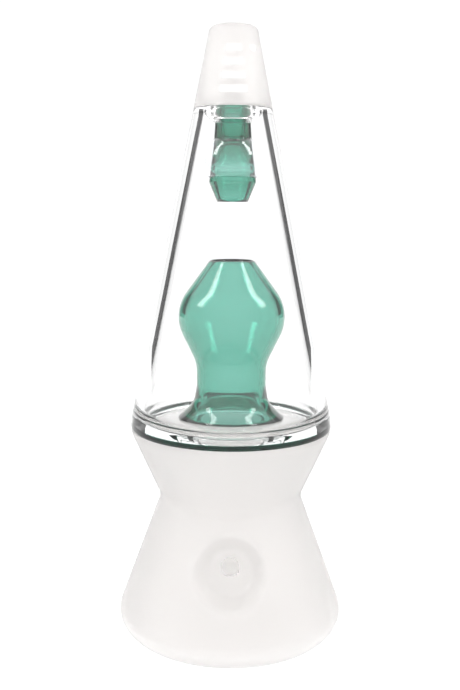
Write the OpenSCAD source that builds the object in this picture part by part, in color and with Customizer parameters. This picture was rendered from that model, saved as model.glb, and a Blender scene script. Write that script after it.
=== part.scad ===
// Hand-blown glass piece in the outline of a lava lamp: a frosted cap with a
// through bore, a clear conical chamber, two hollow teal tubes facing each
// other inside it, the upper one in a thin clear bubble, and a frosted
// hourglass base with a dished bowl in front.
// Every piece is a body of revolution about Z except the bowl and the emblem.
// Millimetres, Z up, origin on the table under the middle, front towards -Y.

/* [Outline] */
// Height from the table to the lip of the cap
height = 200; // [170:1:240]
// Radius at the lip, before its edge is rounded
lip_r = 7.5; // [7:0.1:10]
// Radius of the shoulder, before rounding
shoulder_r = 34.1; // [30:0.1:40]
// Height of the shoulder, where frosted glass meets clear glass
shoulder_z = 70.5; // [64:0.5:84]
// Radius of the waist, before rounding
waist_r = 23.6; // [20:0.1:28]
// Height of the waist
waist_z = 47; // [42:0.5:54]
// Radius of the foot, before rounding
foot_r = 40.8; // [34:0.1:49]
// Height of the frosted cap
cap_h = 25.5; // [20:0.5:32]

/* [Roundings] */
// Rounding of the lip
lip_round = 2.2; // [0.8:0.1:2.6]
// Rounding of the shoulder
shoulder_round = 10.9; // [5:0.1:14]
// Rounding of the waist
waist_round = 6; // [2:0.5:12]
// Rounding of the foot
foot_round = 6.6; // [4:0.1:9]
// Rounding inside the chamber, between its wall and its floor
hollow_round = 5; // [3:0.5:7]

/* [Walls] */
// Wall of the clear chamber and of the cap's lower end
clear_wall = 3.3; // [2.4:0.1:4]
// Wall of the frosted base
base_wall = 3.2; // [2.4:0.1:4]
// Wall of the lower teal tube
tube_wall = 2.2; // [1.5:0.1:2.6]
// Thickness of the chamber floor
floor_t = 1.8; // [1.5:0.1:4]
// Radius of the hole through the chamber floor
floor_hole_r = 11; // [6:0.1:13]
// Outer radius of the teal ring in the underside of the chamber
ring_r = 31; // [30:0.1:32]
// Width of the teal ring
ring_w = 1.2; // [1:0.1:5]
// Thickness of the teal ring
ring_t = 1; // [0.4:0.1:1.2]

/* [Mouth] */
// Radius of the straight bore in the cap
mouth_r = 4.3; // [3:0.1:4.6]
// Length of the straight bore
mouth_len = 9; // [5:0.5:15]
// Rounding of the bore's upper edge
mouth_round = 1; // [0.4:0.1:1.2]

/* [Lower tube] */
// Radius of the foot that stands on the chamber floor
tube_foot_r = 17.9; // [15:0.1:20]
// Thickness of the foot's rim
tube_foot_t = 0.9; // [0.5:0.1:1.5]
// Radius where the foot flares out from the neck
tube_flare_r = 12.6; // [12:0.1:13.5]
// Height of the flare above the floor
tube_flare_up = 6; // [5:0.5:7]
// Radius of the straight neck
tube_neck_r = 11.6; // [9:0.1:12]
// Height of the neck's lower end above the floor
tube_neck_low = 12; // [11:0.5:13]
// Height of the neck's upper end above the floor
tube_neck_high = 19.5; // [17:0.5:21]
// Radius of the bulge, before rounding
tube_bulge_r = 20; // [17:0.1:21]
// Height of the bulge above the floor
tube_bulge_up = 36.7; // [32:0.1:40]
// Rounding of the bulge
tube_bulge_round = 13.8; // [8:0.1:15]
// Radius of the open mouth, outside
tube_mouth_r = 7.3; // [5:0.1:9]
// Height of the open mouth above the floor
tube_mouth_up = 53.7; // [50:0.1:58]
// Rounding of the mouth's two edges
tube_lip_round = 1; // [0.3:0.1:1]

/* [Upper tube] */
// Radius of the neck, where the seal grips it
drop_neck_r = 5.8; // [5:0.1:6.2]
// Radius of the shoulder below the neck
drop_shoulder_r = 6.3; // [6:0.1:6.8]
// Depth of the shoulder below the cap
drop_shoulder_down = 12.5; // [11:0.5:14]
// Radius of the bulge, outside
drop_bulge_r = 7.7; // [7:0.1:8.4]
// Depth of the bulge below the cap
drop_bulge_down = 23.2; // [22:0.1:24.5]
// Radius of the open mouth, outside
drop_mouth_r = 5.05; // [4.5:0.05:6]
// Depth of the open mouth below the cap
drop_mouth_down = 29.6; // [28:0.1:34]

/* [Upper tube, inside] */
// Radius of the passage through the neck
passage_neck_r = 3.2; // [2:0.1:3.6]
// Radius of the narrow place below the neck
passage_waist_r = 2.6; // [1.8:0.1:3]
// Depth of the narrow place below the cap
passage_waist_down = 10.5; // [9:0.5:12]
// Radius of the passage in the bulge, before rounding
passage_bulge_r = 6.3; // [5:0.1:6.8]
// Depth of the passage's widest place below the cap
passage_bulge_down = 19.2; // [17:0.1:20.5]
// Radius of the passage at the mouth
passage_mouth_r = 3.6; // [2.5:0.1:4]

/* [Bubble] */
// Outer radius of the thin clear bubble round the upper tube
bubble_r = 9.4; // [8.8:0.1:10]
// Wall of the bubble
bubble_wall = 0.5; // [0.4:0.1:1]
// Depth of the bubble's middle below the cap
bubble_down = 16.6; // [15.5:0.1:17.5]

/* [Neck seal] */
// Depth of the seal's lower end below the cap
seal_down = 4.8; // [4:0.1:6]
// Radius of the seal's rounded underside
seal_cup_r = 8.6; // [8:0.1:9]
// Rounding of the seal's underside
seal_round = 2; // [1:0.1:2.2]
// Thickness of the seal's rim where it meets the chamber wall
seal_rim_t = 1; // [0.6:0.1:1.5]

/* [Bowl] */
// Height of the bowl's middle on the outside of the base
bowl_z = 30; // [26:0.5:34]
// Radius of the bowl, outside
bowl_r = 12.6; // [10:0.1:14]
// Width of the bowl's rim round the dish
bowl_rim = 1.4; // [0.8:0.1:2]
// Radius of the flat bottom of the dish
dish_floor_r = 6.6; // [4:0.1:8]
// Depth of the dish below the outer wall
dish_depth = 5; // [3:0.1:7]
// Thickness of the glass under the dish
dish_t = 3; // [2:0.1:4]
// Radius of the hole in the dish
bowl_hole_r = 2.8; // [2:0.1:3.5]
// Distance of the hole above the middle of the dish
bowl_hole_up = 1.8; // [0:0.1:3]

/* [Foot] */
// Height of the joint between foot and bell
foot_joint_z = 8; // [7:0.5:12]
// Radius of the shallow hollow under the foot
kick_r = 24; // [16:0.5:27]
// Depth of the hollow under the foot
kick_depth = 0.8; // [0.4:0.1:1.5]

/* [Emblem] */
// Thickness of the enamel
enamel_t = 0.15; // [0.1:0.05:0.3]
// Number of bars
bar_count = 4; // [2:1:6]
// Height of one bar
bar_h = 2.4; // [1:0.1:3]
// Distance from one bar to the next
bar_pitch = 4.2; // [3.2:0.1:4.4]
// Width of the lowest bar
bar_w = 9; // [5:0.1:11]
// How much narrower each bar is than the one below it
bar_step = 1.2; // [0:0.1:1.5]
// Height of the lowest bar's middle above the cap's lower end
bar_low = 5; // [3:0.1:6]
// Radius of the round dot beside the bars
dot_r = 1; // [0.5:0.1:1.5]
// Height of the dot above the cap's lower end
dot_up = 17.8; // [10:0.1:20]
// Distance of the dot to the side of the bars
dot_side = 6.2; // [4:0.1:7]

/* [Quality] */
// Straight steps in each rounded corner
arc_steps = 9; // [6:1:16]

/* [Hidden] */
$fn = 96;
frost = "whitesmoke";
clear = [0.86, 0.93, 0.95, 0.45];
teal = [0.36, 0.68, 0.58, 0.8];
enamel = "white";
past = 1;

cap_z = height - cap_h;
floor_z = shoulder_z + floor_t;
seal_z = cap_z - seal_down;
kick_ramp = 1.5;

// Roundings and small steps of the two blown tubes
foot_edge_in = 1;
flare_round = 8;
neck_round = 12;
inner_step_up = 0.8;
foot_wall = 2 * tube_wall;
flare_wall = 1.3 * tube_wall;
mouth_wall = 1.1 * tube_wall;
shoulder_blend = 20;
neck_blend = 6;
bulge_edge = 1.2;
passage_round = 6;
passage_blend = 2.5;
seal_cup_up = 1.5;
bubble_low = -36;
bubble_high = 51;
bubble_steps = 16;

// ---- outline helpers: a path is a list of [radius, height] points ----

function unit(v) = v / norm(v);

function left_of(v) = [-v[1], v[0]];

// The corner at b between a and c, as an arc that meets both sides
function corner(a, b, c, r) =
  let (
    to_a = unit(a - b),
    to_c = unit(c - b),
    half = acos(to_a * to_c) / 2,
    middle = b + unit(to_a + to_c) * r / sin(half),
    from = b + to_a * r / tan(half) - middle,
    to = b + to_c * r / tan(half) - middle,
    start = atan2(from[1], from[0]),
    turn = atan2(cross(from, to), from * to)
  )
  [for (i = [0:arc_steps]) let (a = start + turn * i / arc_steps) middle + r * [cos(a), sin(a)]];

// A path through the points, each rounded with its own radius; 0 keeps it sharp
function rounded(points, radii) = [
  for (i = [0:len(points) - 1])
    each (radii[i] == 0 ? [points[i]] : corner(points[i - 1], points[i], points[i + 1], radii[i]))
];

// Radius of a rising path at a height
function radius_at(path, z) = lookup(z, [for (p = path) [p[1], p[0]]]);

// The stretch of a rising path between two heights
function stretch(path, low, high) = concat(
  [[radius_at(path, low), low]],
  [for (p = path) if (p[1] > low + 0.01 && p[1] < high - 0.01) p],
  [[radius_at(path, high), high]]
);

// The same path moved to its left by t
function inset(path, t) = [
  for (i = [0:len(path) - 1])
    path[i] + t * unit(left_of(path[min(i + 1, len(path) - 1)] - path[max(i - 1, 0)]))
];

function reversed(path) = [for (i = [len(path) - 1:-1:0]) path[i]];

// A turned wall between an outer path and an inner path, both rising
module turned(outer, inner) {
  rotate_extrude() polygon(concat(outer, reversed(inner)));
}

// ---- the outside of the whole piece, and the inside of its hollow stretches ----

outside = rounded(
  [[0, 0], [foot_r, 0], [waist_r, waist_z], [shoulder_r, shoulder_z], [lip_r, height], [mouth_r, height]],
  [0, foot_round, waist_round, shoulder_round, lip_round, 0]
);

base_inside = inset(outside, base_wall);

// How far the chamber's straight wall leans in for each millimetre of height
lean = (shoulder_r - lip_r) / (height - shoulder_z);
clear_in = clear_wall * sqrt(1 + lean * lean);

// Inner radius of the chamber's straight wall, carried down to its floor
hollow_r = shoulder_r - clear_in - lean * floor_t;
cap_in_r = shoulder_r - clear_in - lean * (cap_z - shoulder_z);

// Where the rounding between wall and floor starts on the floor
hollow_half = (90 + atan(lean)) / 2;
disc_r = hollow_r - hollow_round * tan(hollow_half);

hollow_wall = corner([0, floor_z], [hollow_r, floor_z], [cap_in_r, cap_z], hollow_round);
chamber_inside = concat(hollow_wall, [[cap_in_r, cap_z]]);

// ---- pieces ----

module mouthpiece() {
  bore_end = height - mouth_len;
  mouth_edge = corner([mouth_r, bore_end], [mouth_r, height], [lip_r, height], mouth_round);
  bore = concat([[cap_in_r, cap_z], [mouth_r, bore_end]], mouth_edge);
  color(frost) turned(stretch(outside, cap_z, height), bore);
}

module cap_skin() {
  skin = stretch(outside, cap_z, height - lip_round - past);
  turned([for (p = skin) p + [enamel_t, 0]], skin);
}

module bar(i) {
  w = bar_w - bar_step * i;
  translate([-w / 2, -foot_r, cap_z + bar_low + bar_pitch * i - bar_h / 2]) cube([w, foot_r, bar_h]);
}

module cap_emblem() {
  color(enamel) intersection() {
    cap_skin();
    union() {
      for (i = [0:bar_count - 1]) bar(i);
      translate([dot_side, 0, cap_z + dot_up]) rotate([90, 0, 0]) cylinder(h = foot_r, r = dot_r);
    }
  }
}

module neck_seal() {
  rim_low = cap_z - seal_rim_t;
  rim = [radius_at(chamber_inside, rim_low), rim_low];
  outer = rounded(
    [[drop_neck_r, seal_z], [seal_cup_r, seal_z + seal_cup_up], rim, [cap_in_r, cap_z]],
    [0, seal_round, 0, 0]
  );
  color(clear) turned(outer, [[drop_neck_r, seal_z], [drop_neck_r, cap_z]]);
}

// The outside of the upper tube, from its mouth up to the cap
drop_outside = rounded(
  [[drop_mouth_r, cap_z - drop_mouth_down], [drop_bulge_r, cap_z - drop_bulge_down],
   [drop_shoulder_r, cap_z - drop_shoulder_down], [drop_neck_r, seal_z], [drop_neck_r, cap_z]],
  [0, bulge_edge, shoulder_blend, neck_blend, 0]
);

module upper_tube() {
  passage = rounded(
    [[passage_mouth_r, cap_z - drop_mouth_down], [passage_bulge_r, cap_z - passage_bulge_down],
     [passage_waist_r, cap_z - passage_waist_down], [passage_neck_r, seal_z - seal_rim_t],
     [passage_neck_r, cap_z]],
    [0, passage_round, passage_blend, passage_blend, 0]
  );
  color(teal) turned(drop_outside, passage);
}

// The rising arc of a sphere round the upper tube
function bubble_arc(r) = [
  for (i = [0:bubble_steps])
    let (a = bubble_low + (bubble_high - bubble_low) * i / bubble_steps)
    [r * cos(a), cap_z - bubble_down + r * sin(a)]
];

module tube_bubble() {
  solid_tube = concat([[0, cap_z - drop_mouth_down]], drop_outside, [[0, cap_z]]);
  color(clear) difference() {
    turned(bubble_arc(bubble_r), bubble_arc(bubble_r - bubble_wall));
    rotate_extrude() polygon(solid_tube);
  }
}

module lower_tube() {
  mouth_z = floor_z + tube_mouth_up;
  lip_middle = tube_mouth_r - mouth_wall / 2;
  outer = rounded(
    [[tube_foot_r - foot_edge_in, floor_z], [tube_foot_r, floor_z + tube_foot_t],
     [tube_flare_r, floor_z + tube_flare_up], [tube_neck_r, floor_z + tube_neck_low],
     [tube_neck_r, floor_z + tube_neck_high], [tube_bulge_r, floor_z + tube_bulge_up],
     [tube_mouth_r, mouth_z], [lip_middle, mouth_z]],
    [0, 0, flare_round, flare_round, neck_round, tube_bulge_round, tube_lip_round, 0]
  );
  inner_r = tube_neck_r - tube_wall;
  inside_z = floor_z + inner_step_up;
  inner = rounded(
    [[tube_foot_r - foot_wall, floor_z], [tube_flare_r - flare_wall, inside_z + tube_flare_up],
     [inner_r, inside_z + tube_neck_low], [inner_r, inside_z + tube_neck_high],
     [tube_bulge_r - mouth_wall, floor_z + tube_bulge_up], [tube_mouth_r - mouth_wall, mouth_z],
     [lip_middle, mouth_z]],
    [0, flare_round, flare_round, neck_round, tube_bulge_round - tube_wall, tube_lip_round, 0]
  );
  color(teal) turned(outer, [for (i = [0:len(inner) - 2]) inner[i]]);
}

// The teal ring sits in a groove of its own size in the underside of the chamber
ring_high = shoulder_z + ring_t;
ring_inner = [[ring_r - ring_w, shoulder_z], [ring_r - ring_w, ring_high]];
ring_outer = [[ring_r, shoulder_z], [ring_r, ring_high]];

module chamber() {
  inner = concat([[disc_r, shoulder_z]], chamber_inside);
  groove = concat(ring_inner, reversed(ring_outer));
  color(clear) turned(concat(groove, stretch(outside, shoulder_z, cap_z)), inner);
}

module floor_ring() {
  color(teal) turned(ring_outer, ring_inner);
}

module chamber_floor() {
  color(clear) turned(
    [[disc_r, shoulder_z], [disc_r, floor_z]],
    [[floor_hole_r, shoulder_z], [floor_hole_r, floor_z]]
  );
}

module base_funnel() {
  color(frost) turned(stretch(outside, waist_z, shoulder_z), stretch(base_inside, waist_z, shoulder_z));
}

// The bowl's axis stands square to the outer wall of the base
bowl_tilt = atan((foot_r - waist_r) / waist_z);
bowl_y = -radius_at(outside, bowl_z);

module on_bowl_axis() {
  translate([0, bowl_y, bowl_z]) rotate([90 - bowl_tilt, 0, 0]) children();
}

module bell_wall() {
  turned(stretch(outside, foot_joint_z, waist_z), stretch(base_inside, foot_joint_z, waist_z));
}

module base_bell() {
  color(frost) difference() {
    bell_wall();
    on_bowl_axis() cylinder(h = 2 * bowl_r, r = bowl_r, center = true);
  }
}

module bowl() {
  dish_r = bowl_r - bowl_rim;
  underside = dish_depth + dish_t;
  high = bowl_r + past;
  shell = [[0, -underside], [dish_floor_r, -underside], [bowl_r, -base_wall], [bowl_r, bowl_r], [0, bowl_r]];
  dish = [[0, -dish_depth], [dish_floor_r, -dish_depth], [dish_r, 0], [dish_r, high], [0, high]];
  bell_solid = concat(stretch(outside, foot_joint_z, waist_z), [[0, waist_z], [0, foot_joint_z]]);
  color(frost) difference() {
    intersection() {
      on_bowl_axis() rotate_extrude() polygon(shell);
      rotate_extrude() polygon(bell_solid);
    }
    on_bowl_axis() rotate_extrude() polygon(dish);
    on_bowl_axis() translate([0, bowl_hole_up, -underside - past]) {
      cylinder(h = underside + past, r = bowl_hole_r);
    }
  }
}

module base_foot() {
  ground = [[0, kick_depth], [kick_r, kick_depth], [kick_r + kick_ramp, 0]];
  outer = concat(ground, [for (p = outside) if (p[0] > kick_r && p[1] < foot_joint_z) p],
                 [[radius_at(outside, foot_joint_z), foot_joint_z]]);
  inner = concat([[0, base_wall]], [for (p = base_inside) if (p[0] > kick_r && p[1] < foot_joint_z - 0.01) p],
                 [[radius_at(base_inside, foot_joint_z), foot_joint_z]]);
  color(frost) turned(outer, inner);
}

mouthpiece();
cap_emblem();
neck_seal();
upper_tube();
tube_bubble();
lower_tube();
chamber();
chamber_floor();
floor_ring();
base_funnel();
base_bell();
base_foot();
bowl();
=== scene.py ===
# %% [markdown]
# # A blown-glass piece in the outline of a lava lamp
# Clear, teal and sandblasted glass make up this object. Nearly all of it is turned, so one lathe, built
# from Geometry Nodes, makes every wall. The one thing that isn't turned is the bowl in the front of the
# base, which the maker pushes in with a tool, and the mesh is pushed in here in the same way.

# %% Load the frame and keep its box
import math

import bpy
import numpy as np
from mathutils import Matrix, Vector


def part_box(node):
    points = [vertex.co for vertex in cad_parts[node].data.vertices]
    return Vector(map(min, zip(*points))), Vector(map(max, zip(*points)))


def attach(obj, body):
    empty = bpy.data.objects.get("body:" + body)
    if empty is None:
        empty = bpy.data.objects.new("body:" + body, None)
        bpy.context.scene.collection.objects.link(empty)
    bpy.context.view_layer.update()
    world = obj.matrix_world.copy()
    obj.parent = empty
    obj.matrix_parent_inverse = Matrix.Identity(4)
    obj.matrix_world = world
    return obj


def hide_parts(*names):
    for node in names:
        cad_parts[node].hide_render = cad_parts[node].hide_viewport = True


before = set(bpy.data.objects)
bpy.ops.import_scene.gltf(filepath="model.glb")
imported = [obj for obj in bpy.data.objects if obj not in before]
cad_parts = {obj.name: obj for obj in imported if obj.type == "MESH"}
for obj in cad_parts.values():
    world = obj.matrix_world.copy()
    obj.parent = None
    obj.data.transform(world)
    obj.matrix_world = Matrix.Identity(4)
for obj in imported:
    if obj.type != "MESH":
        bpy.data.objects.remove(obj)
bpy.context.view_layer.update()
scene = bpy.context.scene
MM = 0.001

# %% [markdown]
# ## Heights come from the frame
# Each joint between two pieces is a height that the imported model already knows. They could be typed in
# again, but reading them from the nodes' boxes means that nothing here has to be fitted to the design by
# hand.

# %% Joint heights, in millimetres
lip_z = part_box("mouthpiece")[1].z / MM
cap_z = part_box("mouthpiece")[0].z / MM
shoulder_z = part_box("chamber")[0].z / MM
floor_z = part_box("lower_tube")[0].z / MM
waist_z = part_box("base_bell")[1].z / MM
seal_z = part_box("neck_seal")[0].z / MM
drop_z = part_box("upper_tube")[0].z / MM
tube_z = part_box("lower_tube")[1].z / MM
ring_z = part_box("floor_ring")[1].z / MM
print(f"lip {lip_z:.1f}  cap {cap_z:.1f}  seal {seal_z:.1f}  mouths {drop_z:.1f} and {tube_z:.1f}")
print(f"floor {floor_z:.1f}  ring {ring_z:.1f}  shoulder {shoulder_z:.1f}  waist {waist_z:.1f}")

# %% [markdown]
# ## Outlines
# A glassblower thinks of a wall as a few straight runs with rounded turns between them. The helpers below
# say the same thing: a short list of corners, a radius for each, and a wall thickness. A Bezier curve
# could be bent to the same shape, but its handles say nothing about sizes. Straight runs are cut into
# short steps as well, because smooth shading across one very long face bends the light where the real
# wall is straight.

# %% Outline helpers: a path is a list of (radius, height)
ARC_STEP = math.radians(5)
RUN_STEP = 2.0


def unit(v):
    return v / np.linalg.norm(v)


def turn_at(a, b, c, radius):
    """The corner at b, as an arc that meets the runs to a and to c."""
    a, b, c = (np.array(p, float) for p in (a, b, c))
    to_a, to_c = unit(a - b), unit(c - b)
    half = math.acos(np.clip(to_a @ to_c, -1, 1)) / 2
    middle = b + unit(to_a + to_c) * radius / math.sin(half)
    reach = radius / math.tan(half)
    start, end = b + to_a * reach - middle, b + to_c * reach - middle
    sweep = math.atan2(start[0] * end[1] - start[1] * end[0], start @ end)
    first = math.atan2(start[1], start[0])
    steps = max(3, round(abs(sweep) / ARC_STEP))
    angles = [first + sweep * i / steps for i in range(steps + 1)]
    return [middle + radius * np.array([math.cos(angle), math.sin(angle)]) for angle in angles]


def rounded(corners):
    """corners is a list of (radius, height, rounding); a rounding of 0 keeps the corner sharp."""
    path = []
    for i, (r, z, rounding) in enumerate(corners):
        if rounding and 0 < i < len(corners) - 1:
            path += turn_at(corners[i - 1][:2], (r, z), corners[i + 1][:2], rounding)
        else:
            path.append(np.array([r, z], float))
    return path


def above(level, *corners):
    """Corners whose heights are counted from a level; below it they are negative."""
    return [(r, level + up, rounding) for r, up, rounding in corners]


# %% Taking a stretch of a path, and moving it inwards by a wall
def radius_at(path, z):
    return float(np.interp(z, [p[1] for p in path], [p[0] for p in path]))


def stretch(path, low, high):
    """The part of a rising path between two heights."""
    inside = [p for p in path if low + 0.01 < p[1] < high - 0.01]
    return [np.array([radius_at(path, low), low]), *inside, np.array([radius_at(path, high), high])]


def inset(path, wall):
    """The path moved to its left, which is inwards on a rising path."""
    moved = []
    for i, p in enumerate(path):
        run = unit(path[min(i + 1, len(path) - 1)] - path[max(i - 1, 0)])
        moved.append(p + wall * np.array([-run[1], run[0]]))
    return moved


def stepped(path, step=RUN_STEP):
    """The same path with its long runs cut into short ones."""
    out = [path[0]]
    for a, b in zip(path, path[1:]):
        parts = max(1, math.ceil(np.linalg.norm(b - a) / step))
        out += [a + (b - a) * k / parts for k in range(1, parts + 1)]
    return out


corner = turn_at((0, 0), (1, 0), (1, 1), 0.5)
print(f"a square corner becomes {len(corner)} points")

# %% [markdown]
# ## The outline of the whole piece
# From the table up: a rounded foot, the slope to the waist, the slope out to the shoulder, and one long
# straight cone to the lip. The cap, the cone and the base each take their own stretch of this one line,
# so that their skins run through the joints as they do on one piece of blown glass.

# %% The outside of the whole piece
FOOT_R, WAIST_R, SHOULDER_R, LIP_R, MOUTH_R = 40.8, 23.6, 34.1, 7.5, 4.3
CLEAR_WALL, BASE_WALL = 3.3, 3.2

outside = rounded([
    (0, 0, 0),
    (FOOT_R, 0, 6.6),
    (WAIST_R, waist_z, 6),
    (SHOULDER_R, shoulder_z, 10.9),
    (LIP_R, lip_z, 2.2),
    (MOUTH_R, lip_z, 0),
])
lean = (SHOULDER_R - LIP_R) / (lip_z - shoulder_z)
wall_across = CLEAR_WALL * math.hypot(1, lean)
hollow_r = SHOULDER_R - wall_across - lean * (floor_z - shoulder_z)
cap_in_r = SHOULDER_R - wall_across - lean * (cap_z - shoulder_z)
print(f"outline: {len(outside)} points; hollow {hollow_r:.1f} mm at the floor, {cap_in_r:.1f} at the cap")

# %% [markdown]
# ## The lathe
# The tree takes an outline drawn as a loop of points and turns it round the Z axis. A Screw modifier
# could do that too, but here every point also carries how frosted it is, so that one wall can be
# sandblasted outside and polished inside. The tree makes a grid with one column for each step round the
# circle and one row for each point, sends every grid point to its place, and welds the seam.

# %% The lathe's inputs
def tree_input(tree, name, kind, value=None):
    socket = tree.interface.new_socket(name, in_out="INPUT", socket_type=kind)
    if value is not None:
        socket.default_value = value
    return socket.identifier


lathe = bpy.data.node_groups.new("lathe", "GeometryNodeTree")
tree_input(lathe, "Geometry", "NodeSocketGeometry")
STEPS_ID = tree_input(lathe, "Steps", "NodeSocketInt", 192)
GLASS_ID = tree_input(lathe, "Glass", "NodeSocketMaterial")
lathe.interface.new_socket("Geometry", in_out="OUTPUT", socket_type="NodeSocketGeometry")
print("lathe inputs:", STEPS_ID, GLASS_ID)


# %% Helpers that add a node to the lathe
def lathe_node(kind, settings=None, **inputs):
    """An input named _0 or _1 is the socket with that number; any other is the socket with that name."""
    made = lathe.nodes.new(kind)
    for key, value in (settings or {}).items():
        setattr(made, key, value)
    for key, value in inputs.items():
        socket = made.inputs[int(key[1:])] if key[0] == "_" else made.inputs[key.replace("_", " ")]
        if isinstance(value, bpy.types.NodeSocket):
            lathe.links.new(value, socket)
        else:
            socket.default_value = value
    return made


def lathe_maths(operation, a, b=0.0):
    return lathe_node("ShaderNodeMath", {"operation": operation}, _0=a, _1=b).outputs[0]


def at_point(kind, value, index):
    """What the outline's point with this index carries."""
    settings = {"data_type": kind, "domain": "POINT"}
    sample = lathe_node("GeometryNodeSampleIndex", settings, Geometry=outline, Value=value, Index=index)
    return sample.outputs[0]


# %% From grid point to column and row
given = lathe.nodes.new("NodeGroupInput")
outline = given.outputs["Geometry"]
points = lathe_node("GeometryNodeAttributeDomainSize", {"component": "MESH"}, Geometry=outline)
count = points.outputs["Point Count"]
steps_round = given.outputs["Steps"]
rows = lathe_maths("ADD", count, 1.0)
grid = lathe_node("GeometryNodeMeshGrid", Vertices_X=lathe_maths("ADD", steps_round, 1.0), Vertices_Y=rows)
index = lathe.nodes.new("GeometryNodeInputIndex").outputs[0]
column = lathe_maths("FLOOR", lathe_maths("DIVIDE", lathe_maths("ADD", index, 0.5), rows))
row = lathe_maths("SUBTRACT", index, lathe_maths("MULTIPLY", column, rows))
on_outline = lathe_maths("MODULO", row, count)
print("grid:", len(lathe.nodes), "nodes so far")

# %% From column and row to a place on the turned wall
position = lathe.nodes.new("GeometryNodeInputPosition").outputs[0]
named = lathe_node("GeometryNodeInputNamedAttribute", {"data_type": "FLOAT"}, Name="frost")
place = lathe_node("ShaderNodeSeparateXYZ", _0=at_point("FLOAT_VECTOR", position, on_outline))
frost_here = at_point("FLOAT", named.outputs["Attribute"], on_outline)
bearing = lathe_maths("MULTIPLY", lathe_maths("DIVIDE", column, steps_round), 2 * math.pi)
turned = lathe_node(
    "ShaderNodeCombineXYZ",
    X=lathe_maths("MULTIPLY", place.outputs["X"], lathe_maths("COSINE", bearing)),
    Y=lathe_maths("MULTIPLY", place.outputs["X"], lathe_maths("SINE", bearing)),
    Z=place.outputs["Z"],
)
print("turned:", len(lathe.nodes), "nodes so far")

# %% Weld the seam and give the glass
SEAM = 1e-6
keeping = {"data_type": "FLOAT", "domain": "POINT"}
kept = lathe_node("GeometryNodeStoreNamedAttribute", keeping, Geometry=grid.outputs["Mesh"], Name="frost",
                  Value=frost_here)
placed = lathe_node("GeometryNodeSetPosition", Geometry=kept.outputs[0], Position=turned.outputs[0])
welded = lathe_node("GeometryNodeMergeByDistance", Geometry=placed.outputs[0], Distance=SEAM)
smooth = lathe_node("GeometryNodeSetShadeSmooth", Geometry=welded.outputs[0])
realized = lathe_node("GeometryNodeRealizeInstances", Geometry=smooth.outputs[0])
glass_in = given.outputs["Glass"]
glazed = lathe_node("GeometryNodeSetMaterial", Geometry=realized.outputs[0], Material=glass_in)
lathe.links.new(glazed.outputs[0], lathe.nodes.new("NodeGroupOutput").inputs["Geometry"])
print("lathe:", len(lathe.nodes), "nodes")

# %% [markdown]
# ## From outline to finished piece
# The modifier is only the tool. Its result becomes a plain mesh, as a turned pot leaves the wheel, and
# that mesh is what rides the frame and stands in for its CAD nodes.


# %% Turning a wall between two paths
def outline_mesh(name, loop, frost):
    """The closed outline as a mesh of points and edges in the XZ plane, with its frost attribute."""
    mesh = bpy.data.meshes.new(name)
    edges = [(i, (i + 1) % len(loop)) for i in range(len(loop))]
    mesh.from_pydata([(r * MM, 0, z * MM) for r, z in loop], edges, [])
    mesh.attributes.new("frost", "FLOAT", "POINT").data.foreach_set("value", frost)
    return mesh


def turn(name, outer, inner, glass, frosted_outside=False, steps=192):
    """A wall between two rising paths, turned round Z and made a plain mesh."""
    outer, inner = stepped(outer), stepped(inner)
    loop = [*outer, *reversed(inner)]
    frost = [float(frosted_outside)] * len(outer) + [0.0] * len(inner)
    piece = bpy.data.objects.new(name, outline_mesh(name, loop, frost))
    scene.collection.objects.link(piece)
    tool = piece.modifiers.new("lathe", "NODES")
    tool.node_group = lathe
    tool[STEPS_ID] = steps
    tool[GLASS_ID] = glass
    return plain(piece)


# %% Making it plain, and facing outwards
def plain(piece):
    """Replaces a piece's mesh with the result of its modifiers, and removes them."""
    bpy.context.view_layer.update()
    result = bpy.data.meshes.new_from_object(piece.evaluated_get(bpy.context.evaluated_depsgraph_get()))
    piece.modifiers.clear()
    old, piece.data = piece.data, result
    bpy.data.meshes.remove(old)
    result.name = piece.name
    outwards(result)
    print(f"{piece.name}: {len(result.polygons)} faces")
    return piece


def outwards(mesh):
    """Turns every face outwards, judged by the sign of the mesh's volume."""
    firsts = np.array([[mesh.vertices[v].co for v in p.vertices[:3]] for p in mesh.polygons])
    last = np.array([mesh.vertices[p.vertices[-1]].co for p in mesh.polygons])
    a, b, c = firsts[:, 0], firsts[:, 1], firsts[:, 2]
    volume = sum(np.einsum("ij,ij->i", a, np.cross(p, q)).sum() for p, q in ((b, c), (c, last)))
    if volume < 0:
        mesh.flip_normals()


def finish_piece(piece, slot, *nodes):
    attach(piece, "root")
    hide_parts(*nodes)
    print(f"{piece.name} stands in for {', '.join(nodes)}")


# %% [markdown]
# ## Shader helpers
# One small class lets shader maths be written as plain expressions, and one method adds any other node.
# Wiring each node by hand would do the same in three times the lines.


# %% Sockets that can be multiplied
class Value:
    def __init__(self, shader, socket):
        self.shader, self.socket = shader, socket

    def __mul__(self, other):
        return self.shader.node("ShaderNodeMath", {"operation": "MULTIPLY"}, 0, _0=self, _1=other)

    __rmul__ = __mul__


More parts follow.
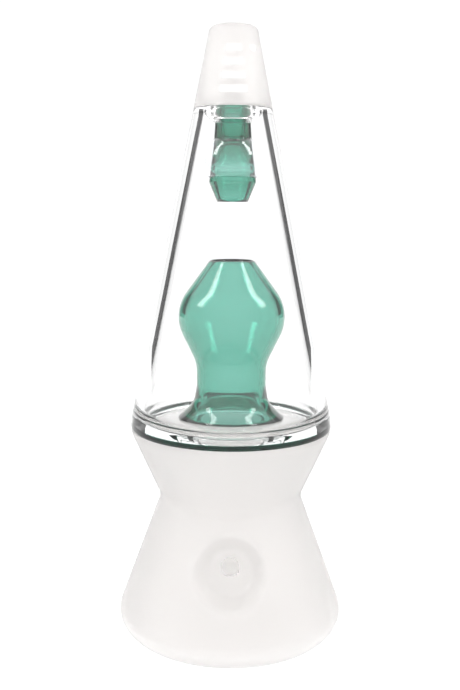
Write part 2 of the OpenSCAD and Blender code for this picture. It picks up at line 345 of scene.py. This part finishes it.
# %% A material's node tree, with its Principled shader ready
class Shader:
    def __init__(self, name):
        self.material = bpy.data.materials.new(name)
        self.material.use_nodes = True
        self.tree = self.material.node_tree
        self.principled = self.tree.nodes["Principled BSDF"]
        self.place = self.node("ShaderNodeTexCoord", {}, "Object")

    def node(self, kind, settings, output, **inputs):
        made = self.tree.nodes.new(kind)
        for key, value in settings.items():
            setattr(made, key, value)
        for key, value in inputs.items():
            socket = made.inputs[int(key[1:])] if key[0] == "_" else made.inputs[key.replace("_", " ")]
            self.join(value, socket)
        return Value(self, made.outputs[output])

    def join(self, value, socket):
        if isinstance(value, Value):
            self.tree.links.new(value.socket, socket)
        else:
            socket.default_value = value

    def noise(self, scale, detail=3.0):
        return self.node("ShaderNodeTexNoise", {}, 0, Vector=self.place, Scale=scale, Detail=detail,
                         Roughness=0.5)

    def remap(self, value, low, high, to_low, to_high):
        return self.node("ShaderNodeMapRange", {"clamp": True}, 0, Value=value, From_Min=low, From_Max=high,
                         To_Min=to_low, To_Max=to_high)

    def bump(self, height, strength, distance):
        return self.node("ShaderNodeBump", {}, "Normal", Height=height, Strength=strength,
                         Distance=distance)

    def set(self, **values):
        for key, value in values.items():
            self.join(value, self.principled.inputs[key.replace("_", " ")])

    def absorb(self, colour, density):
        """Plain absorption inside the glass."""
        volume = self.tree.nodes.new("ShaderNodeVolumeAbsorption")
        volume.inputs["Color"].default_value = (*colour, 1)
        volume.inputs["Density"].default_value = density
        output = next(n for n in self.tree.nodes if n.type == "OUTPUT_MATERIAL")
        self.tree.links.new(volume.outputs[0], output.inputs["Volume"])


# %% [markdown]
# ## Polished glass
# Hand-blown borosilicate is never optically flat: the wall carries faint, long waves from the turning. A
# perfect mirror-smooth surface looks like plastic film, so a wide noise bends the normal a little and a
# finer one dulls the polish by a trace.

# %% Clear glass
BOROSILICATE = 1.474
WHITE = (1, 1, 1, 1)


def polished(name, index_of_refraction=BOROSILICATE, grain=500.0):
    s = Shader(name)
    s.set(Base_Color=WHITE, Transmission_Weight=1.0, IOR=index_of_refraction)
    s.set(Roughness=s.remap(s.noise(grain), 0.45, 0.75, 0.0, 0.002))
    return s


def clear_glass():
    s = polished("clear_borosilicate", grain=400.0)
    s.set(Normal=s.bump(s.noise(55.0, 1.0), 0.03, 0.0003))
    return s.material


CLEAR = clear_glass()
print("glass:", CLEAR.name)

# %% [markdown]
# ## Teal glass
# The colour sits in the body of the glass, so it comes from the length of the light's way through it, and
# thick rims look nearly black. A coloured surface would give every place the same teal. The upper tube is
# a slightly deeper melt. The ring under the floor is painted shade: a very dense teal that draws the dark
# line above the frost in place of the shade in the weld. It is fused into clear glass that bends light just
# as it does, so its own skin bends nothing: its index against its surroundings is 1.

# %% Teal glass, in two depths, and a dense teal that paints the shade line
TEAL_COLOUR, TEAL_DENSITY, DEEP_DENSITY = (0.08, 0.66, 0.55), 520.0, 700.0
# The dense colour below is painted shade: it draws the dark line above the frost.
SHADE_LINE_COLOUR, SHADE_LINE_DENSITY = (0.03, 0.42, 0.34), 4500.0


def teal_glass(name, density):
    s = polished(name)
    s.set(Normal=s.bump(s.noise(90.0, 1.0), 0.03, 0.0003))
    s.absorb(TEAL_COLOUR, density)
    return s.material


def shade_line_glass():
    # Painted shade: a dense teal that draws the dark line above the frost.
    s = polished("shade_line_glass", index_of_refraction=1.0)
    s.absorb(SHADE_LINE_COLOUR, SHADE_LINE_DENSITY)
    return s.material


TEAL, DEEP_TEAL = teal_glass("teal_borosilicate", TEAL_DENSITY), teal_glass("deep_teal", DEEP_DENSITY)
SHADE_LINE_GLASS = shade_line_glass()
print("glass:", TEAL.name, DEEP_TEAL.name, SHADE_LINE_GLASS.name)

# %% [markdown]
# ## The bubble's glass
# A wall half a millimetre thick shows almost nothing but its waves and a trace of blue at its edges, so
# it has stronger waves than the cone and a pale blue body.


# %% Pale glass for the bubble
def bubble_glass():
    s = polished("pale_bubble")
    s.set(Normal=s.bump(s.noise(150.0, 1.0), 0.05, 0.0005))
    s.absorb((0.62, 0.85, 1.0), 90.0)
    return s.material


BUBBLE = bubble_glass()
print("glass:", BUBBLE.name)

# %% [markdown]
# ## Sandblasted glass
# Blasting leaves the outer skin matt and finely pitted, while the inside stays polished. Roughness alone
# leaves glass that is still see-through where it is close to what is behind it, so part of the light is
# also scattered at the surface, as the pits do. The frost attribute from the lathe keeps the roughness
# and the pits off the inner skin.


# %% Frosted glass
def frosted_glass():
    s = Shader("sandblasted_borosilicate")
    frost = s.node("ShaderNodeAttribute", {"attribute_name": "frost"}, "Fac")
    pits = s.noise(2500.0, 2.0)
    s.set(Base_Color=(1.0, 0.982, 0.972, 1), Transmission_Weight=0.6, IOR=BOROSILICATE)
    s.set(Roughness=frost * s.remap(s.noise(120.0), 0.3, 0.7, 0.52, 0.62))
    s.set(Normal=s.bump(pits * frost, 0.25, 0.00008))
    return s.material


FROST = frosted_glass()
print("glass:", FROST.name)

# %% [markdown]
# ## The clear cone
# The cone and the disc that closes its bottom are one piece of glass once they are welded, with no
# surface left between them. They could be two turned pieces that touch, as they are in the frame, but a
# face inside the glass would mirror the light, so they are turned as one here.

# %% Cone and floor
WELD = 0.04
HOLE_IN_FLOOR, FLOOR_ROUND, HOLE_EDGE = 11.0, 5.0, 0.5
cone_out = [np.array([HOLE_IN_FLOOR, shoulder_z]), *stretch(outside, shoulder_z, cap_z)]
cone_in = rounded([
    (HOLE_IN_FLOOR, shoulder_z, 0),
    (HOLE_IN_FLOOR, floor_z, HOLE_EDGE),
    (hollow_r, floor_z, FLOOR_ROUND),
    (cap_in_r, cap_z, 0),
])[1:]
cone = turn("clear_cone", cone_out, cone_in, CLEAR, steps=256)
finish_piece(cone, "clear_glass", "chamber", "chamber_floor")

# %% [markdown]
# ## The frosted cap
# The cone goes on into the cap, which is blasted from its lower edge to the lip. Inside it narrows to a
# straight polished bore. The cap starts a hair below its joint, inside the cone's glass, so that no gap
# can show.

# %% The cap, with its polished bore
MOUTH_LEN, BORE_ROUND, LIP_ROUND = 9.0, 6, 1
cap_low = cap_z - WELD
cap_out = stretch(outside, cap_low, lip_z)
cap_in = rounded([
    (cap_in_r, cap_low, 0),
    (MOUTH_R, lip_z - MOUTH_LEN, BORE_ROUND),
    (MOUTH_R, lip_z, LIP_ROUND),
    (LIP_R, lip_z, 0),
])[:-1]
cap = turn("frosted_cap", cap_out, cap_in, FROST, frosted_outside=True, steps=160)
finish_piece(cap, "frosted_glass", "mouthpiece")

# %% [markdown]
# ## The seal under the cap
# The upper tube is held by a ring of clear glass, melted in round its neck under the cap. It is turned as
# a shallow cup. A hair is left between it and the glass on both sides, because two skins in one place
# flicker.

# %% The clear seal
NECK_R = 5.8
CUP_R, CUP_UP, CUP_ROUND, RIM = 8.6, 1.5, 2, 1
rim_low = cap_z - RIM
seal_out = rounded([
    (NECK_R + WELD, seal_z, 0),
    (CUP_R, seal_z + CUP_UP, CUP_ROUND),
    (radius_at(cone_in, rim_low) - WELD, rim_low, 0),
    (cap_in_r - WELD, cap_z, 0),
])
seal = turn("clear_seal", seal_out, [np.array([NECK_R + WELD, cap_z])], CLEAR, steps=160)
finish_piece(seal, "clear_glass", "neck_seal")

# %% [markdown]
# ## The upper tube
# A small teal drop hangs from the seal: a neck, a bulge, and a tapered open end. Its passage is narrow
# above and wide in the bulge, so the wall is thick at the neck, and dark there. Both skins are outlines
# of their own, because one outline moved inwards would give an even wall.

# %% The upper tube
PASSAGE_R = 3.2
drop_out = rounded([
    (5.05, drop_z, 0),
    *above(cap_z, (7.7, -23.2, 1.2), (6.3, -12.5, 20)),
    (NECK_R, seal_z, 6),
    (NECK_R, cap_z, 0),
])
drop_in = rounded([
    (3.6, drop_z, 0),
    *above(cap_z, (6.3, -19.2, 6), (2.6, -10.5, 2.5)),
    (PASSAGE_R, seal_z - 1, 2.5),
    (PASSAGE_R, cap_z, 0),
])
drop = turn("teal_drop", drop_out, drop_in, DEEP_TEAL, steps=160)
finish_piece(drop, "teal_glass", "upper_tube")

# %% [markdown]
# ## The thin bubble
# A bubble as thin as the glass of a light bulb sits round the bulge of the upper tube, and only its edges
# show, as a pale halo. It is an arc turned round the axis, stopped just short of the tube at both ends.

# %% The bubble round the upper tube
BUBBLE_R, BUBBLE_WALL = 9.4, 0.5
BUBBLE_FROM, BUBBLE_SWEEP, BUBBLE_STEPS = -34, 84, 32
bubble_z = cap_z - 16.6


def bubble_arc(radius):
    degrees = [BUBBLE_FROM + BUBBLE_SWEEP * i / BUBBLE_STEPS for i in range(BUBBLE_STEPS + 1)]
    turns = [math.radians(d) for d in degrees]
    return [np.array([radius * math.cos(t), bubble_z + radius * math.sin(t)]) for t in turns]


bubble = turn("clear_bubble", bubble_arc(BUBBLE_R), bubble_arc(BUBBLE_R - BUBBLE_WALL), BUBBLE, steps=160)
finish_piece(bubble, "clear_glass", "tube_bubble")

# %% [markdown]
# ## The lower tube
# The large teal tube stands on a flared foot and opens upwards: foot, neck, bulge, and a thick rounded
# mouth. The foot sits a hair above the floor, so that the teal skin and the clear one stay apart.

# %% The lower tube
FOOT_GAP, LIP_MIDDLE = 0.02, 6.0
TUBE_NECK_R, TUBE_WALL = 11.6, 2.2
TUBE_MOUTH_R, TUBE_MOUTH_IN_R, TUBE_LIP_ROUND = 7.3, 4.9, 1.0
neck_in_r = TUBE_NECK_R - TUBE_WALL
tube_out = rounded([
    *above(floor_z, (16.9, FOOT_GAP, 0), (17.9, 0.9, 0.4), (12.6, 6.0, 8)),
    *above(floor_z, (TUBE_NECK_R, 12, 8), (TUBE_NECK_R, 19.5, 12), (20.0, 36.7, 13.8)),
    (TUBE_MOUTH_R, tube_z, TUBE_LIP_ROUND),
    (LIP_MIDDLE, tube_z, 0),
])
tube_in = rounded([
    *above(floor_z, (13.5, FOOT_GAP, 0), (9.8, 6.8, 7)),
    *above(floor_z, (neck_in_r, 13, 8), (neck_in_r, 20, 12), (17.6, 36.7, 12)),
    (TUBE_MOUTH_IN_R, tube_z, TUBE_LIP_ROUND),
    (LIP_MIDDLE - 0.05, tube_z, 0),
])
tube = turn("teal_chimney", tube_out, tube_in, TEAL, steps=192)
finish_piece(tube, "teal_glass", "lower_tube")

# %% [markdown]
# ## The painted shade line
# A ring of very dense teal in the weld between cone and base paints one dark line above the frost: painted
# shade in place of the shade in the weld. It lies wholly inside the cone's glass, where a piece of denser
# glass can be a mesh of its own.

# %% The dense ring in the weld, which paints the shade line
RING_R, RING_W = 31.0, 1.2
ring_low = shoulder_z + WELD
ring_out, ring_in = ([np.array([r, ring_low]), np.array([r, ring_z])] for r in (RING_R, RING_R - RING_W))
# Painted shade: this ring draws the dark line above the frost.
ring = turn("shade_line_ring", ring_out, ring_in, SHADE_LINE_GLASS, steps=160)
finish_piece(ring, "teal_glass", "floor_ring")

# %% [markdown]
# ## The frosted base and its bowl
# The base is one hollow hourglass. The maker heats a spot on its front and pushes it in, then pokes a
# hole through the middle. The mesh is turned first, and every point near the bowl's axis is then moved
# inwards, most in the middle and not at all at the rim, on both skins together, so that the wall keeps
# its thickness. A Boolean with a ball would leave a sharp rim and a thin wall behind it.

# %% Turn the base
KICK_R, KICK_DEPTH, REST_R = 24.0, 0.8, 25.5
FOOT_TOP, BOWL_STEP = 10.0, 0.9
base_top = shoulder_z + WELD
base_skin = inset(outside, BASE_WALL)
kick = [np.array([0.0, KICK_DEPTH]), np.array([KICK_R, KICK_DEPTH]), np.array([REST_R, 0.0])]
foot_out = [p for p in outside if p[0] > REST_R and p[1] < FOOT_TOP]
foot_in = [p for p in base_skin if p[0] > KICK_R and p[1] < FOOT_TOP]
base_out = [*kick, *foot_out, *stretch(outside, FOOT_TOP, base_top)]
base_in = [np.array([0.0, BASE_WALL]), *foot_in, *stretch(base_skin, FOOT_TOP, base_top)]
base = turn("frosted_base", stepped(base_out, BOWL_STEP), stepped(base_in, BOWL_STEP), FROST,
            frosted_outside=True, steps=240)

# %% Push the bowl in
BOWL_Z, RIM_R, DISH_R, DISH_DEPTH = 30.0, 12.6, 6.6, 5.0
tilt = math.atan((FOOT_R - WAIST_R) / waist_z)
bowl_at = Vector((0, -radius_at(outside, BOWL_Z) * MM, BOWL_Z * MM))
bowl_out = Vector((0, -math.cos(tilt), math.sin(tilt)))
bowl_up = Vector((0, math.sin(tilt), math.cos(tilt)))


def push_in(mesh):
    flat = np.empty(len(mesh.vertices) * 3)
    mesh.vertices.foreach_get("co", flat)
    co = flat.reshape(-1, 3)
    away = co - np.array(bowl_at)
    along = away @ np.array(bowl_out)
    off_axis = np.linalg.norm(away - np.outer(along, bowl_out), axis=1) / MM
    part = np.clip((RIM_R - off_axis) / (RIM_R - DISH_R), 0, 1)
    depth = part * part * (3 - 2 * part) * DISH_DEPTH * MM
    depth[co[:, 1] > 0] = 0
    co -= np.outer(depth, bowl_out)
    mesh.vertices.foreach_set("co", co.ravel())
    mesh.update()
    print(f"bowl: {np.count_nonzero(depth)} points moved, up to {depth.max() / MM:.1f} mm")


push_in(base.data)

# %% Drill the hole in the dish
HOLE_R, HOLE_UP, DRILL_IN, DRILL_LEN = 2.8, 1.8, 6, 12


def drill(piece, radius, middle, direction, length):
    """Cuts a straight round hole through a piece."""
    bpy.ops.mesh.primitive_cylinder_add(vertices=96, radius=radius * MM, depth=length * MM, location=middle)
    bit = bpy.context.active_object
    bit.rotation_mode = "QUATERNION"
    bit.rotation_quaternion = direction.to_track_quat("Z", "Y")
    cut = piece.modifiers.new("hole", "BOOLEAN")
    cut.operation, cut.object, cut.solver = "DIFFERENCE", bit, "EXACT"
    plain(piece)
    bpy.data.objects.remove(bit)


drill(base, HOLE_R, bowl_at + bowl_up * HOLE_UP * MM - bowl_out * DRILL_IN * MM, bowl_out, DRILL_LEN)
finish_piece(base, "frosted_glass", "base_funnel", "base_bell", "base_foot", "bowl")

# %% [markdown]
# ## The enamel
# The marks on the cap are fired white enamel, a hair thick. The CAD pieces have the right shape, so they
# only get the enamel's own finish: glossy, with a slightly uneven glaze.


# %% Enamel on the CAD pieces
def white_enamel():
    s = Shader("white_enamel")
    glaze = s.noise(900.0)
    s.set(Base_Color=(0.93, 0.93, 0.92, 1), IOR=1.5, Roughness=s.remap(glaze, 0.3, 0.7, 0.08, 0.2))
    s.set(Normal=s.bump(glaze, 0.1, 0.00005))
    return s.material


ENAMEL = white_enamel()
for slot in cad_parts["cap_emblem"].material_slots:
    slot.material = ENAMEL
print("enamel on cap_emblem")

# %% [markdown]
# ## The stage
# Glass shows what is round it, so the studio is part of its look. The piece stands on a pale paper sheet
# that glows a little, as one lit from below does, and with white all round, its frost stays bright
# without shadows.

# %% The paper sheet
PAPER_SIZE = 4


def glowing(name, grey, roughness, strength):
    s = Shader(name)
    s.set(Base_Color=(grey, grey, grey, 1), Roughness=roughness, Emission_Color=WHITE,
          Emission_Strength=strength)
    return s.material


def set_up(name, points, faces, material):
    """A mesh that belongs to the stage and not to the object."""
    mesh = bpy.data.meshes.new(name)
    mesh.from_pydata(points, [], faces)
    mesh.materials.append(material)
    card = bpy.data.objects.new(name, mesh)
    scene.collection.objects.link(card)
    return card


half = PAPER_SIZE / 2
paper_corners = [(-half, -half, 0), (half, -half, 0), (half, half, 0), (-half, half, 0)]
set_up("floor", paper_corners, [(0, 1, 2, 3)], glowing("pale_paper", 0.2, 0.9, 0.92))
print(f"paper: {PAPER_SIZE} m square")

# %% [markdown]
# ## Dark cards and softboxes
# Clear glass on white vanishes, so a glass studio sets dark cards just outside the view, behind the
# piece. The cone's thick wall bends them into one thin dark line on each side. Two tall softboxes, a
# little in front of the sides, draw the white lines on the teal tubes. They start high, or else they
# would wash over the whole cone.

# %% Cards that stand round the piece
FLAG_FROM, FLAG_TO, FLAG_AWAY, FLAG_LOW, FLAG_HEIGHT = 39, 66, 0.45, 0.075, 0.24
BOX_FROM, BOX_TO, BOX_AWAY, BOX_LOW, BOX_HEIGHT = 96, 112, 0.5, 0.33, 1.0
DARK = glowing("dark_card", 0.02, 1.0, 0.0)
SOFTBOX = glowing("softbox", 0.9, 1.0, 12.0)


def bent_card(name, start, end, distance, low, height, material):
    """A card that stands round the piece between two bearings, in degrees from straight behind it."""
    steps = round(abs(end - start) / 2)
    bearings = [math.radians(start + (end - start) * i / steps) for i in range(steps + 1)]
    feet = [(distance * math.sin(a), distance * math.cos(a)) for a in bearings]
    corners = [(x, y, z) for z in (low, low + height) for x, y in feet]
    n = len(feet)
    card = set_up(name, corners, [(i, i + 1, i + 1 + n, i + n) for i in range(n - 1)], material)
    card.visible_camera = False
    card.visible_shadow = False
    card.visible_diffuse = False
    print(f"{name}: {n - 1} panels")


for side in (-1, 1):
    bent_card(f"flag_{side}", side * FLAG_FROM, side * FLAG_TO, FLAG_AWAY, FLAG_LOW, FLAG_HEIGHT, DARK)
    bent_card(f"high_box_{side}", side * BOX_FROM, side * BOX_TO, BOX_AWAY, BOX_LOW, BOX_HEIGHT, SOFTBOX)

# %% [markdown]
# ## The white surroundings
# A plain white world lights everything from all sides. It is a little brighter to the glass than to the
# camera, which keeps the frost near white while the background stays just at white.

# %% World and light paths
LIGHT_STRENGTH, SEEN_STRENGTH, BOUNCES = 1.1, 1.05, 32
world = bpy.data.worlds.new("studio")
scene.world = world
world.use_nodes = True
tree = world.node_tree
lighting, seen = tree.nodes["Background"], tree.nodes.new("ShaderNodeBackground")
for background, strength in ((lighting, LIGHT_STRENGTH), (seen, SEEN_STRENGTH)):
    background.inputs["Color"].default_value = WHITE
    background.inputs["Strength"].default_value = strength
path = tree.nodes.new("ShaderNodeLightPath")
mix = tree.nodes.new("ShaderNodeMixShader")
tree.links.new(path.outputs["Is Camera Ray"], mix.inputs[0])
tree.links.new(lighting.outputs[0], mix.inputs[1])
tree.links.new(seen.outputs[0], mix.inputs[2])
tree.links.new(mix.outputs[0], tree.nodes["World Output"].inputs["Surface"])

scene.view_settings.view_transform = "Standard"
scene.cycles.max_bounces = BOUNCES
scene.cycles.transmission_bounces = BOUNCES
scene.cycles.transparent_max_bounces = BOUNCES
scene.cycles.glossy_bounces = 12
print(f"light passes through up to {BOUNCES} skins of glass")

# %% [markdown]
# ## The camera
# It stands about 30 cm in front, a little above the middle of the piece, and looks slightly down. Its
# place, lens and tilt were solved together from the outline's corners, so that every joint falls where it
# should.

# %% Camera
EYE, LENS, LOOK_DOWN, ROLL = (-0.0005, -0.2946, 0.1445), 46.55, 8.995, 0.376
camera = bpy.data.objects.new("camera", bpy.data.cameras.new("camera"))
scene.collection.objects.link(camera)
scene.camera = camera
camera.data.lens = LENS
camera.data.sensor_width = 36
camera.data.clip_start = 0.01
aim = Matrix.Rotation(math.radians(90 - LOOK_DOWN), 4, "X") @ Matrix.Rotation(math.radians(ROLL), 4, "Z")
camera.matrix_world = Matrix.Translation(EYE) @ aim
print(f"camera: {LENS} mm lens, {LOOK_DOWN} degrees down")
